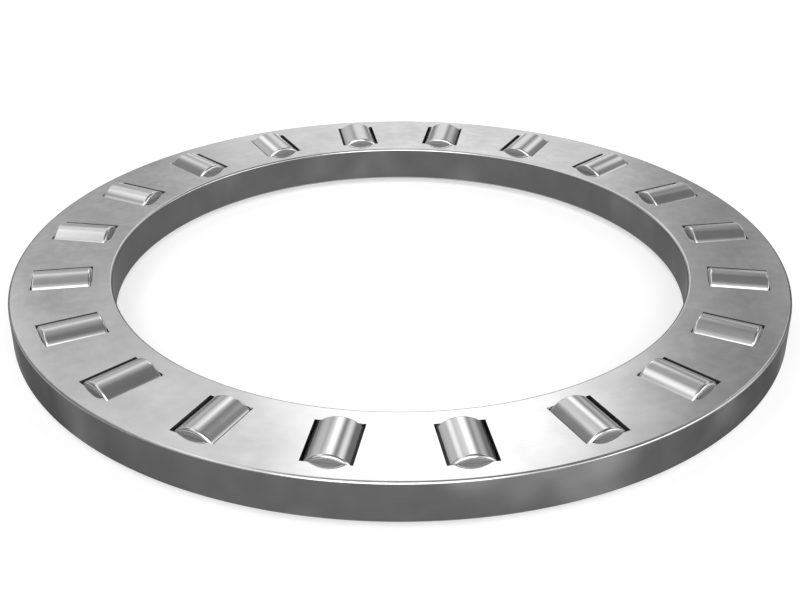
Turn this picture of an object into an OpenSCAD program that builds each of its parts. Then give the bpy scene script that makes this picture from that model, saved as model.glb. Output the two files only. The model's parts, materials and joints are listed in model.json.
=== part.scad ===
// Cylindrical roller and cage thrust assembly: one solid cage ring with a ring of radial
// pockets, and one loose steel roller held in each pocket by lips at both faces of the cage.
// Millimetres. The bearing axis is Z, and the plane that the rollers run on is at z = 0.

/* [Cage] */
// Bore of the cage, which runs round the shaft
bore_d = 100.1; // [70:0.1:160]
// Wall between the bore and the inner ends of the pockets
inner_wall = 3.46; // [2:0.01:8]
// Wall between the outer ends of the pockets and the rim
outer_wall = 3.61; // [2:0.01:8]
// Radius on the four round edges of the cage
cage_edge_r = 0.5; // [0.2:0.05:1]
// Thickness of the lips that hold the rollers in, at their tips
lip_t = 0.64; // [0.4:0.01:1.2]

/* [Rollers] */
// Number of rollers, one in each pocket
roller_count = 20; // [6:1:28]
// Diameter of a roller
roller_d = 9; // [7:0.1:12]
// Length of a roller
roller_l = 10; // [5:0.1:16]
// Radius on the two end edges of a roller
roller_edge_r = 0.5; // [0.2:0.05:0.8]

/* [Fits] */
// How far the rollers stand out of each face of the cage
stand_out = 1.17; // [0.8:0.01:1.6]
// Gap between a roller and the round wall of its pocket
side_gap = 0.1; // [0.05:0.01:0.25]
// Gap between a roller and each end of its pocket
end_gap = 0.04; // [0.03:0.01:0.3]

/* [Hidden] */
$fn = 96;

roller_r = roller_d / 2;
cage_t = roller_d - 2 * stand_out;
cage_mid_z = roller_r;

pocket_l = roller_l + 2 * end_gap;
pocket_r = roller_r + side_gap;
// The round wall of the pocket meets the straight mouth one lip thickness under the face.
mouth_w = 2 * sqrt(pow(pocket_r, 2) - pow(cage_t / 2 - lip_t, 2));

bore_r = bore_d / 2;
pitch_r = bore_r + inner_wall + pocket_l / 2;
rim_r = pitch_r + pocket_l / 2 + outer_wall;

pocket_step = 360 / roller_count;
// No pocket lies on the X or Y axis: the first one is half a step round from X.
first_pocket = pocket_step / 2;

// The pockets' straight mouths are cut this far past both faces of the cage.
overshoot = 1;

cage_colour = [0.62, 0.63, 0.64];
roller_colour = [0.72, 0.73, 0.75];

function two_digits(n) = n < 10 ? str("0", n) : str(n);
function roller_name(n) = str("roller_", two_digits(n));

// A rectangle from the origin's side, with round corners of radius r.
module round_rectangle(size, r) {
    translate([r, 0]) square([size.x - 2 * r, size.y]);
    translate([0, r]) square([size.x, size.y - 2 * r]);
    for (x = [r, size.x - r], y = [r, size.y - r])
        translate([x, y]) circle(r);
}

// Moves its children to the middle of pocket n, with X pointing outwards along the roller.
module at_pocket(n) {
    rotate([0, 0, first_pocket + (n - 1) * pocket_step])
        translate([pitch_r, 0, cage_mid_z])
            children();
}

// The cage before its pockets are cut: a turned ring with a rounded rectangle for its section.
module cage_blank() {
    translate([0, 0, cage_mid_z - cage_t / 2])
        rotate_extrude()
            translate([bore_r, 0])
                round_rectangle([rim_r - bore_r, cage_t], cage_edge_r);
}

// What is cut away for one roller: a straight mouth through both faces, and between them
// a wider round bore along the roller, which leaves a lip at each face.
module pocket_cutter() {
    cube([pocket_l, mouth_w, cage_t + 2 * overshoot], center = true);
    rotate([0, 90, 0]) cylinder(r = pocket_r, h = pocket_l, center = true);
}

module cage() {
    color(cage_colour)
        difference() {
            cage_blank();
            for (n = [1:roller_count])
                at_pocket(n) pocket_cutter();
        }
}

// Half of a roller's section, from its axis outwards, with both end edges rounded.
module roller_profile() {
    r = roller_edge_r;
    translate([0, -roller_l / 2]) square([roller_r - r, roller_l]);
    translate([0, r - roller_l / 2]) square([roller_r, roller_l - 2 * r]);
    for (y = [r - roller_l / 2, roller_l / 2 - r])
        translate([roller_r - r, y]) circle(r);
}

module roller(n) {
    color(roller_colour)
        at_pocket(n)
            rotate([0, 90, 0])
                rotate_extrude() roller_profile();
}

cage();
for (n = [1:roller_count])
    roller(n);
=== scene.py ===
# Looks of the thrust roller and cage assembly: one bright ground cage ring and its loose polished
# rollers, lying on a plain white floor in a soft studio. Metres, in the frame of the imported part.
import json
import math

import bmesh
import bpy
from mathutils import Euler, Matrix, Vector


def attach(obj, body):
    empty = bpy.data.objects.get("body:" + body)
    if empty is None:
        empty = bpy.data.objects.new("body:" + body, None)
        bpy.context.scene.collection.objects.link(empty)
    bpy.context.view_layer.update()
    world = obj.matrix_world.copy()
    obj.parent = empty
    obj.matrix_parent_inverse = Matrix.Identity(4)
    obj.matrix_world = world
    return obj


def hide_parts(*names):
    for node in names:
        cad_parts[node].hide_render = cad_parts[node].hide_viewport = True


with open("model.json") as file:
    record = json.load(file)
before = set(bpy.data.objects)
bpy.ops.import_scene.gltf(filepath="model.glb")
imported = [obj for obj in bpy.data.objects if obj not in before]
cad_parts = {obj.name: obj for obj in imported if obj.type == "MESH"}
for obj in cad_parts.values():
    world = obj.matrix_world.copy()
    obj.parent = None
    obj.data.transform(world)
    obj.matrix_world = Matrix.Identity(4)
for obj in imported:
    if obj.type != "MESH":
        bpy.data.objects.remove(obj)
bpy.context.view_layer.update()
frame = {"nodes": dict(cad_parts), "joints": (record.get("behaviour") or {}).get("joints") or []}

MM = 0.001
WHITE = (1.0, 1.0, 1.0, 1.0)

# The cage's sizes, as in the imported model. The rim is 6 micrometres smaller, so that the ring stays
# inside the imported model's box.
BORE_R = 50.05 * MM
RIM_R = 67.194 * MM
CAGE_LOW = 1.17 * MM
CAGE_TOP = 7.83 * MM
CAGE_EDGE_R = 0.5 * MM
LIP_T = 0.64 * MM
POCKET_R = 4.6 * MM
POCKET_L = 10.08 * MM
ROLLER_L = 10.0 * MM
PITCH_R = 58.55 * MM
AXIS_Z = 4.5 * MM
POCKETS = 20
POCKET_STEP = 2 * math.pi / POCKETS

# How finely the ring is turned: steps round it, over each round edge and round a pocket's wall.
# Edges with a sharper bend than the sharp angle stay crisp.
RING_STEPS = 480
EDGE_STEPS = 12
POCKET_STEPS = 16
SHARP_ANGLE = math.radians(30)

# The places of the ring's materials: faces ground bright, round edges tumbled, and walls drawn dark
# as painted shade; and how far up a round edge the walls' painted shade reaches, as the slope of the
# edge there.
GROUND = 0
TUMBLED = 1
SHADED_WALL = 2
SHADE_UP_TO = math.radians(22.5)

# The camera of the photograph: its lens, place and downward tilt, as a program fitted them to the
# ring's outlines.
LENS_MM = 57.105
SENSOR_MM = 36.0
NEAREST_SEEN = 0.01
CAMERA_PLACE = (0.0, -201.72 * MM, 108.085 * MM)
CAMERA_TILT = math.radians(61.515)

# The floor, as a wide disc of white paper.
FLOOR_RADIUS = 30.0
FLOOR_SIDES = 96
FLOOR_COLOUR = 0.62
FLOOR_GLOW = 0.46
FLOOR_ROUGHNESS = 0.9


class Softbox:
    """A flat panel of light far away, square on to the part, with soft edges. Sizes in degrees."""

    def __init__(self, azimuth, elevation, half_width, half_height, edge, strength, turn=0.0):
        self.azimuth = azimuth
        self.elevation = elevation
        self.half_width = half_width
        self.half_height = half_height
        self.edge = edge
        self.strength = strength
        self.turn = turn

    def axes(self):
        """The panel's outward direction, and its right and up directions."""
        turned = Euler((math.radians(self.elevation), 0.0, math.radians(-self.azimuth)), "XYZ")
        matrix = turned.to_matrix() @ Euler((0.0, math.radians(self.turn), 0.0)).to_matrix()
        return matrix @ Vector((0, 1, 0)), matrix @ Vector((1, 0, 0)), matrix @ Vector((0, 0, 1))


# The studio, as radiance seen in a direction. Azimuth 0 is +Y, away from the camera, and 90 is +X.
# The room is a little lighter on the left, and changes over between two values of the direction's X.
# A panel is seen only in directions that point ahead to it by more than a least amount.
# The room's two levels, the panels 1 to 12 and the last one are rounded results of a program, which
# fitted them to the tones of the steel in the photograph. The panels 13, 16 and 17 began as such
# results and were changed, and 14 and 15 were given one by one.
LEFT_LIGHT = 0.34
RIGHT_LIGHT = 0.24
LEFT_UP_TO = -0.25
RIGHT_FROM = 0.45
AHEAD = 0.001
SOFTBOXES = (
    # azimuth, elevation, half width, half height, soft edge, radiance
    Softbox(1.5, 32.5, 7.5, 10, 9, 2.24, turn=2),
    Softbox(0.5, 16, 11.5, 9.5, 5, 1.05, turn=-3),
    Softbox(-10.5, 37.5, 22.5, 9.5, 14, 1.14, turn=34),
    Softbox(-35.5, 20, 23.5, 13.5, 12.5, 0.8, turn=10),
    Softbox(-70.5, 61.5, 27.5, 3, 14, 1.7, turn=9),
    Softbox(-27.5, 30, 7.5, 7, 6.5, 1.7, turn=17),
    Softbox(36, 33.5, 10.5, 4.5, 10.5, 1.57, turn=-44),
    Softbox(24, 22.5, 7.5, 21, 7.5, 0.72, turn=23),
    Softbox(-62, 67, 56.5, 25.5, 14, 0.5, turn=18),
    Softbox(56.5, 27.5, 34.5, 11.5, 14, 0.49, turn=44),
    Softbox(-18, 49.5, 29.5, 16, 14, 0.68, turn=30),
    Softbox(183, 66, 33.5, 16, 14, 0.8, turn=-19),
    Softbox(181, 42.5, 26, 25, 4, 3.0),
    Softbox(103, 27, 35, 17, 3, 1.2, turn=-12),
    Softbox(105, 29, 17, 10, 5, 2.6),
    Softbox(236, 47, 24, 15, 10, 1.15, turn=-15),
    Softbox(130, 30, 24, 20, 10, 0.7),
    Softbox(125, 17, 22, 6, 4, 0.63, turn=-7),
)


class Pattern:
    """A noise: its waves in a millimetre, its detail, and the levels that it rises between."""

    def __init__(self, scale, detail=2.0, levels=None):
        self.scale = scale
        self.detail = detail
        self.levels = levels


# The looks of the steels. A steel is a grey, a swing is how far a value goes to either side, and a
# bump is the height of a pattern in metres. A glance is how much a steel still reflects when it is
# seen almost along its surface; below one, that steel is drawn darker at a slant. The marks of
# grinding
# and turning are drawn out round the ring: one radian of it is as long for them as a few millimetres
# across.
MARKS_ROUND = 3.0

# Faces ground bright: broad clouds, a finer haze and the faint rings of the grinding.
GROUND_STEEL = 0.56
GROUND_ROUGHNESS = 0.12
GROUND_ROUGHNESS_SWING = 0.03
GROUND_CLOUDS = Pattern(0.13, levels=(0.25, 0.75))
GROUND_CLOUD_SWING = 0.04
GROUND_CLOUD_BUMP = 4.0e-6
GROUND_HAZE = Pattern(0.5, levels=(0.2, 0.8))
GROUND_HAZE_SWING = 0.03
GROUND_MARKS = Pattern(5.0, detail=3.0)
GROUND_MARK_SWING = 0.05
GROUND_MARK_BUMP = 0.4e-6

# Round edges smoothed by tumbling, with tiny dark nicks.
EDGE_STEEL = 0.57
EDGE_STEEL_SWING = 0.03
EDGE_GLANCE = 0.1
EDGE_ROUGHNESS = 0.2
EDGE_ROUGHNESS_SWING = 0.03
EDGE_HAZE = Pattern(0.4, levels=(0.2, 0.8))
EDGE_NICKS = Pattern(2.5, levels=(0.62, 0.75))
EDGE_NICK_DARKER = 0.1
EDGE_NICK_BUMP = -0.5e-6

# Turned walls, drawn much darker than the ground faces: their grey is painted shade for steel that
# faces sideways. On it lie broad patches and the tool's fine rings. The rim's patches are brighter
# than the bore's, and it reflects less at a glance, which paints shade on the rim's ends.
WALL_PAINTED_SHADE = 0.13
WALL_STEEL_SWING = 0.015
WALL_ROUGHNESS = 0.45
WALL_ROUGHNESS_SWING = 0.06
WALL_HAZE = Pattern(0.2, levels=(0.2, 0.8))
WALL_PATCHES = Pattern(0.055, levels=(0.5, 0.8))
WALL_MARKS = Pattern(7.0, detail=3.0)
WALL_MARK_SWING = 0.06
WALL_MARK_BUMP = 0.8e-6
RIM_GLANCE = 0.38
RIM_PATCH_STEEL = 0.16
BORE_GLANCE = 0.65
BORE_PATCH_STEEL = 0.07

# Rollers ground round the barrel. Their flat ends are rougher, and drawn darker as painted shade for
# ends that face sideways. This changes over between two distances from the end, in millimetres. The
# shifts give each roller its own part of the noise.
ROLLER_STEEL = 0.58
ROLLER_STEEL_SWING = 0.03
ROLLER_ROUGHNESS = 0.14
ROLLER_ROUGHNESS_SWING = 0.03
END_PAINTED_SHADE = 0.38
END_ROUGHNESS = 0.7
END_ROUGHNESS_SWING = 0.05
END_FROM = 0.02
END_FULL = 0.002
ROLLER_HAZE = Pattern(0.5, detail=3.0)
ROLLER_HAZE_SHIFT = 37.0
ROLLER_MARKS = Pattern(6.0, detail=3.0)
ROLLER_MARK_SHIFT = 11.0
ROLLER_MARK_SWING = 0.03
ROLLER_MARK_BUMP = 0.3e-6


class Nodes:
    """Short calls that add nodes to a tree and link them."""

    def __init__(self, tree):
        self.tree = tree
        self.tree.nodes.clear()

    def add(self, kind, **settings):
        node = self.tree.nodes.new(kind)
        for name, value in settings.items():
            setattr(node, name, value)
        return node

    def feed(self, socket, value):
        if isinstance(value, bpy.types.NodeSocket):
            self.tree.links.new(value, socket)
        else:
            socket.default_value = value

    def math(self, operation, *values, clamp=False):
        node = self.add("ShaderNodeMath", operation=operation, use_clamp=clamp)
        for socket, value in zip(node.inputs, values):
            self.feed(socket, value)
        return node.outputs[0]

    def times(self, first, second):
        return self.math("MULTIPLY", first, second)

    def length(self, x, y):
        """The length of a vector in a plane."""
        return self.math("SQRT", self.math("MULTIPLY_ADD", x, x, self.times(y, y)))

    def vector(self, operation, *values):
        node = self.add("ShaderNodeVectorMath", operation=operation)
        for socket, value in zip(node.inputs, values):
            self.feed(socket, value)
        return node.outputs["Vector"]

    def dot(self, vector, direction):
        node = self.add("ShaderNodeVectorMath", operation="DOT_PRODUCT")
        self.feed(node.inputs[0], vector)
        self.feed(node.inputs[1], direction)
        return node.outputs["Value"]

    def split(self, vector):
        node = self.add("ShaderNodeSeparateXYZ")
        self.feed(node.inputs[0], vector)
        return node.outputs[:3]

    def join(self, x, y, z):
        node = self.add("ShaderNodeCombineXYZ")
        for socket, value in zip(node.inputs, (x, y, z)):
            self.feed(socket, value)
        return node.outputs[0]

    def grey(self, value):
        return self.join(value, value, value)

    def ramp(self, value, low, high, to_low=0.0, to_high=1.0):
        """A smooth step of value from low to high."""
        node = self.add("ShaderNodeMapRange", interpolation_type="SMOOTHSTEP")
        for socket, number in zip(node.inputs, (value, low, high, to_low, to_high)):
            self.feed(socket, number)
        return node.outputs[0]

    def mix(self, factor, first, second):
        node = self.add("ShaderNodeMix", data_type="FLOAT")
        for socket, value in zip(node.inputs[:1] + node.inputs[2:4], (factor, first, second)):
            self.feed(socket, value)
        return node.outputs[0]

    def spread(self, value, middle, swing):
        """A value around the middle, from a pattern between 0 and 1."""
        return self.math("MULTIPLY_ADD", value, 2 * swing, middle - swing)

    def noise(self, vector, pattern):
        """A pattern between 0 and 1 at a place in millimetres."""
        node = self.add("ShaderNodeTexNoise")
        self.feed(node.inputs["Vector"], vector)
        self.feed(node.inputs["Scale"], pattern.scale)
        self.feed(node.inputs["Detail"], pattern.detail)
        if pattern.levels is None:
            return node.outputs["Fac"]
        return self.ramp(node.outputs["Fac"], *pattern.levels)

    def bump(self, height, distance, normal=None):
        """A normal bent by a height between 0 and 1, over a distance in metres."""
        node = self.add("ShaderNodeBump")
        self.feed(node.inputs["Height"], height)
        self.feed(node.inputs["Strength"], 1.0)
        self.feed(node.inputs["Distance"], distance)
        if normal is not None:
            self.feed(node.inputs["Normal"], normal)
        return node.outputs[0]


def flat_grey(value):
    """A grey that is the same all over, as a colour."""
    return (value, value, value, 1.0)


def panel_light(nodes, direction, box):
    """The radiance of one softbox in a direction of the world."""
    out, right, up = box.axes()
    ahead = nodes.dot(direction, out)
    depth = nodes.math("MAXIMUM", ahead, AHEAD)
    light = box.strength
    for axis, half in ((right, box.half_width), (up, box.half_height)):
        offset = nodes.math("ABSOLUTE", nodes.math("DIVIDE", nodes.dot(direction, axis), depth))
        inner = math.tan(math.radians(max(half - box.edge, 0.0)))
        outer = math.tan(math.radians(half + box.edge))
        light = nodes.times(light, nodes.ramp(offset, inner, outer, 1.0, 0.0))
    return nodes.times(light, nodes.math("GREATER_THAN", ahead, AHEAD))


def make_world():
    """The studio: in each direction the brightest panel there, or else the room's soft light."""
    world = bpy.data.worlds.new("studio")
    bpy.context.scene.world = world
    world.use_nodes = True
    nodes = Nodes(world.node_tree)
    direction = nodes.add("ShaderNodeTexCoord").outputs["Generated"]
    across = nodes.dot(direction, (1, 0, 0))
    light = nodes.ramp(across, LEFT_UP_TO, RIGHT_FROM, LEFT_LIGHT, RIGHT_LIGHT)
    for box in SOFTBOXES:
        light = nodes.math("MAXIMUM", light, panel_light(nodes, direction, box))
    background = nodes.add("ShaderNodeBackground")
    nodes.feed(background.inputs["Color"], WHITE)
    nodes.feed(background.inputs["Strength"], light)
    output = nodes.add("ShaderNodeOutputWorld")
    nodes.feed(output.inputs["Surface"], background.outputs[0])


def make_camera():
    """A camera where the photograph's was."""
    data = bpy.data.cameras.new("camera")
    data.lens = LENS_MM
    data.sensor_width = SENSOR_MM
    data.clip_start = NEAREST_SEEN
    camera = bpy.data.objects.new("camera", data)
    camera.location = CAMERA_PLACE
    camera.rotation_euler = (CAMERA_TILT, 0.0, 0.0)
    bpy.context.scene.collection.objects.link(camera)
    bpy.context.scene.camera = camera


def new_material(name, metallic):
    """A new material, its nodes and its shader."""
    material = bpy.data.materials.new(name)
    material.use_nodes = True
    nodes = Nodes(material.node_tree)
    shader = nodes.add("ShaderNodeBsdfPrincipled")
    nodes.feed(shader.inputs["Metallic"], metallic)
    output = nodes.add("ShaderNodeOutputMaterial")
    nodes.feed(output.inputs["Surface"], shader.outputs[0])
    return material, nodes, shader


def make_floor():
    """White paper: the camera and the steel see it a little lighter than its colour alone."""
    material, nodes, shader = new_material("floor_paper", 0.0)
    nodes.feed(shader.inputs["Base Color"], flat_grey(FLOOR_COLOUR))
    nodes.feed(shader.inputs["Roughness"], FLOOR_ROUGHNESS)
    rays = nodes.add("ShaderNodeLightPath")
    seen = nodes.math("ADD", rays.outputs["Is Camera Ray"], rays.outputs["Is Glossy Ray"])
    seen = nodes.math("ADD", seen, rays.outputs["Is Transmission Ray"], clamp=True)
    nodes.feed(shader.inputs["Emission Color"], WHITE)
    nodes.feed(shader.inputs["Emission Strength"], nodes.times(seen, FLOOR_GLOW))
    bpy.ops.mesh.primitive_circle_add(vertices=FLOOR_SIDES, radius=FLOOR_RADIUS, fill_type="NGON")
    floor = bpy.context.object
    floor.name = "floor"
    floor.data.materials.append(material)


def arc(centre, radius, start, stop, steps):
    """Points of an arc in a plane, from one angle to another in degrees."""
    angles = [math.radians(start + (stop - start) * i / steps) for i in range(steps + 1)]
    return [(centre[0] + radius * math.cos(a), centre[1] + radius * math.sin(a)) for a in angles]


def turned_wall(mesh, profile):
    """One wall of the ring, from its section, as rows of vertices round the axis."""
    rows = []
    for radius, height in profile:
        row = []
        for i in range(RING_STEPS):
            angle = 2 * math.pi * i / RING_STEPS
            row.append(mesh.verts.new((radius * math.cos(angle), radius * math.sin(angle), height)))
        rows.append(row)
    tumbled = CAGE_EDGE_R * (1 - math.sin(SHADE_UP_TO))
    for upper, lower in zip(rows, rows[1:]):
        for i in range(RING_STEPS):
            j = (i + 1) % RING_STEPS
            face = mesh.faces.new((upper[i], upper[j], lower[j], lower[i]))
            height = face.calc_center_median().z
            # Faces on a wall and low on a round edge take the walls' painted shade; those near a face
            # are tumbled steel.
            on_edge = height > CAGE_TOP - tumbled or height < CAGE_LOW + tumbled
            face.material_index = TUMBLED if on_edge else SHADED_WALL
    return rows


def cut_pocket(mesh, number):
    """The walls of one pocket: a straight mouth at each face and a round bore between them.

    Gives the corners of its mouth in the top face, and of that in the bottom face.
    """
    angle = (number + 0.5) * POCKET_STEP
    place = Matrix.Rotation(angle, 4, "Z") @ Matrix.Translation((PITCH_R, 0.0, AXIS_Z))
    half_t = (CAGE_TOP - CAGE_LOW) / 2
    open_angle = math.degrees(math.asin((half_t - LIP_T) / POCKET_R))
    wall = arc((0.0, 0.0), POCKET_R, open_angle, -open_angle, POCKET_STEPS)
    mouth = wall[0][0]
    side = [(mouth, half_t), *wall, (mouth, -half_t)]
    outline = side + [(-y, z) for y, z in reversed(side)]
    ends = []
    for x in (-POCKET_L / 2, POCKET_L / 2):
        ends.append([mesh.verts.new(place @ Vector((x, y, z))) for y, z in outline])
        mesh.faces.new(ends[-1]).material_index = GROUND
    count = len(outline)
    low = count // 2 - 1
    # The pocket's curved walls take the walls' painted shade.
    for i in range(count - 1):
        if i != low:
            face = mesh.faces.new((ends[0][i], ends[0][i + 1], ends[1][i + 1], ends[1][i]))
            face.material_index = SHADED_WALL
    top = (ends[0][0], ends[1][0], ends[1][-1], ends[0][-1])
    bottom = (ends[0][low], ends[1][low], ends[1][low + 1], ends[0][low + 1])
    return top, bottom


def loop_edges(mesh, row):
    """The edges round a closed row of vertices."""
    return [mesh.edges.get((row[i - 1], row[i])) for i in range(len(row))]


def make_cage():
    """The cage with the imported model's sizes, and with its round edges smoothly turned."""
    mesh = bmesh.new()
    inset = CAGE_EDGE_R
    rim = arc((RIM_R - inset, CAGE_TOP - inset), inset, 90, 0, EDGE_STEPS)
    rim += arc((RIM_R - inset, CAGE_LOW + inset), inset, 0, -90, EDGE_STEPS)
    bore = arc((BORE_R + inset, CAGE_TOP - inset), inset, 90, 180, EDGE_STEPS)
    bore += arc((BORE_R + inset, CAGE_LOW + inset), inset, 180, 270, EDGE_STEPS)
    walls = [turned_wall(mesh, rim), turned_wall(mesh, bore)]
    mouths = [cut_pocket(mesh, number) for number in range(POCKETS)]
    for side, row in ((0, 0), (1, -1)):
        edges = [edge for wall in walls for edge in loop_edges(mesh, wall[row])]
        edges += [edge for mouth in mouths for edge in loop_edges(mesh, mouth[side])]
        bmesh.ops.triangle_fill(mesh, use_beauty=True, edges=edges)
    bmesh.ops.recalc_face_normals(mesh, faces=mesh.faces)
    data = bpy.data.meshes.new("cage_ring")
    mesh.to_mesh(data)
    mesh.free()
    data.shade_smooth()
    data.set_sharp_from_angle(angle=SHARP_ANGLE)
    ring = bpy.data.objects.new("cage_ring", data)
    bpy.context.scene.collection.objects.link(ring)
    even = ring.modifiers.new("even_shading", "WEIGHTED_NORMAL")
    even.keep_sharp = True
    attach(ring, "cage")
    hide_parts("cage")
    return ring


def ring_places(nodes):
    """A point of the ring in millimetres: its place, and its way round, radius and height."""
    coords = nodes.add("ShaderNodeTexCoord")
    place = nodes.vector("MULTIPLY", coords.outputs["Object"], (1 / MM, 1 / MM, 1 / MM))
    x, y, z = nodes.split(place)
    return place, nodes.math("ARCTAN2", y, x), nodes.length(x, y), z


def ground_material():
    """Faces ground bright."""
    material, nodes, shader = new_material("cage_ground", 1.0)
    place, angle, radius, z = ring_places(nodes)
    clouds = nodes.noise(place, GROUND_CLOUDS)
    haze = nodes.noise(place, GROUND_HAZE)
    marks = nodes.noise(nodes.join(radius, nodes.times(angle, MARKS_ROUND), z), GROUND_MARKS)
    steel = nodes.spread(clouds, GROUND_STEEL, GROUND_CLOUD_SWING)
    steel = nodes.times(steel, nodes.spread(haze, 1.0, GROUND_HAZE_SWING))
    steel = nodes.times(steel, nodes.spread(marks, 1.0, GROUND_MARK_SWING))
    rough = nodes.spread(haze, GROUND_ROUGHNESS, GROUND_ROUGHNESS_SWING)
    waves = nodes.bump(clouds, GROUND_CLOUD_BUMP)
    nodes.feed(shader.inputs["Base Color"], nodes.grey(steel))
    nodes.feed(shader.inputs["Roughness"], rough)
    nodes.feed(shader.inputs["Normal"], nodes.bump(marks, GROUND_MARK_BUMP, waves))
    return material


def tumbled_material():
    """Round edges smoothed by tumbling."""
    material, nodes, shader = new_material("cage_edge", 1.0)
    place = ring_places(nodes)[0]
    haze = nodes.noise(place, EDGE_HAZE)
    nicks = nodes.noise(place, EDGE_NICKS)
    steel = nodes.spread(haze, EDGE_STEEL, EDGE_STEEL_SWING)
    steel = nodes.times(steel, nodes.math("MULTIPLY_ADD", nicks, -EDGE_NICK_DARKER, 1.0))
    rough = nodes.spread(haze, EDGE_ROUGHNESS, EDGE_ROUGHNESS_SWING)
    nodes.feed(shader.inputs["Base Color"], nodes.grey(steel))
    nodes.feed(shader.inputs["Specular Tint"], flat_grey(EDGE_GLANCE))
    nodes.feed(shader.inputs["Roughness"], rough)
    nodes.feed(shader.inputs["Normal"], nodes.bump(nicks, EDGE_NICK_BUMP))
    return material


def shaded_wall_material():
    """Walls drawn dark as painted shade, from the bore outward to the rim."""
    material, nodes, shader = new_material("cage_wall_painted_shade", 1.0)
    place, angle, radius, z = ring_places(nodes)
    outward = nodes.ramp(radius, BORE_R / MM, RIM_R / MM)
    round_way = nodes.times(angle, RIM_R / MM)
    patches = nodes.noise(nodes.join(round_way, radius, z), WALL_PATCHES)
    patches = nodes.times(patches, nodes.mix(outward, BORE_PATCH_STEEL, RIM_PATCH_STEEL))
    haze = nodes.noise(place, WALL_HAZE)
    marks = nodes.noise(nodes.join(nodes.times(angle, MARKS_ROUND), radius, z), WALL_MARKS)
    # The walls' low grey is painted shade for steel that faces sideways.
    steel = nodes.math("ADD", patches, nodes.spread(haze, WALL_PAINTED_SHADE, WALL_STEEL_SWING))
    steel = nodes.times(steel, nodes.spread(marks, 1.0, WALL_MARK_SWING))
    # A glance below one paints shade where a wall is seen at a slant, most of all on the rim.
    glance = nodes.mix(outward, BORE_GLANCE, RIM_GLANCE)
    rough = nodes.spread(haze, WALL_ROUGHNESS, WALL_ROUGHNESS_SWING)
    nodes.feed(shader.inputs["Base Color"], nodes.grey(steel))
    nodes.feed(shader.inputs["Specular Tint"], nodes.grey(glance))
    nodes.feed(shader.inputs["Roughness"], rough)
    nodes.feed(shader.inputs["Normal"], nodes.bump(marks, WALL_MARK_BUMP))
    return material


def roller_places(nodes):
    """A point of a roller: its pocket's number, and its place in millimetres in its own axes."""
    point = nodes.add("ShaderNodeTexCoord").outputs["Object"]
    x, y, _ = nodes.split(point)
    way = nodes.math("ARCTAN2", y, x)
    pocket = nodes.math("FLOOR", nodes.math("DIVIDE", way, POCKET_STEP))
    turn = nodes.add("ShaderNodeVectorRotate", rotation_type="Z_AXIS", invert=True)
    nodes.feed(turn.inputs["Vector"], point)
    middle = nodes.math("MULTIPLY_ADD", pocket, POCKET_STEP, POCKET_STEP / 2)
    nodes.feed(turn.inputs["Angle"], middle)
    place = nodes.vector("SUBTRACT", turn.outputs[0], (PITCH_R, 0.0, AXIS_Z))
    return pocket, nodes.vector("MULTIPLY", place, (1 / MM, 1 / MM, 1 / MM))


def roller_material():
    """Ground round the barrel; rougher at the flat ends, and drawn darker there as painted shade."""
    material, nodes, shader = new_material("roller_steel", 1.0)
    pocket, place = roller_places(nodes)
    along, across, up = nodes.split(place)
    half = ROLLER_L / 2 / MM
    end = nodes.ramp(nodes.math("ABSOLUTE", along), half - END_FROM, half - END_FULL)
    shift = nodes.join(nodes.times(pocket, ROLLER_HAZE_SHIFT), 0.0, 0.0)
    haze = nodes.noise(nodes.vector("ADD", place, shift), ROLLER_HAZE)
    radius = nodes.length(across, up)
    own_marks = nodes.join(along, radius, nodes.times(pocket, ROLLER_MARK_SHIFT))
    marks = nodes.noise(own_marks, ROLLER_MARKS)
    barrel_steel = nodes.spread(haze, ROLLER_STEEL, ROLLER_STEEL_SWING)
    # The ends' darker grey is painted shade for ends that face sideways.
    end_shade_steel = nodes.spread(haze, END_PAINTED_SHADE, ROLLER_STEEL_SWING)
    steel = nodes.mix(end, barrel_steel, end_shade_steel)
    steel = nodes.times(steel, nodes.spread(marks, 1.0, ROLLER_MARK_SWING))
    barrel_rough = nodes.spread(haze, ROLLER_ROUGHNESS, ROLLER_ROUGHNESS_SWING)
    end_rough = nodes.spread(haze, END_ROUGHNESS, END_ROUGHNESS_SWING)
    nodes.feed(shader.inputs["Base Color"], nodes.grey(steel))
    nodes.feed(shader.inputs["Roughness"], nodes.mix(end, barrel_rough, end_rough))
    nodes.feed(shader.inputs["Normal"], nodes.bump(marks, ROLLER_MARK_BUMP))
    return material


def finish_steel():
    """Gives the ring its three materials, one of them the walls' painted shade, and every roller the
    same steel.
    """
    ring = make_cage()
    for finish in (ground_material, tumbled_material, shaded_wall_material):
        ring.data.materials.append(finish())
    steel = roller_material()
    for joint in frame["joints"]:
        for slot in frame["nodes"][joint["child"]].material_slots:
            slot.material = steel


make_camera()
make_world()
make_floor()
finish_steel()
bpy.context.scene.view_settings.view_transform = "Standard"
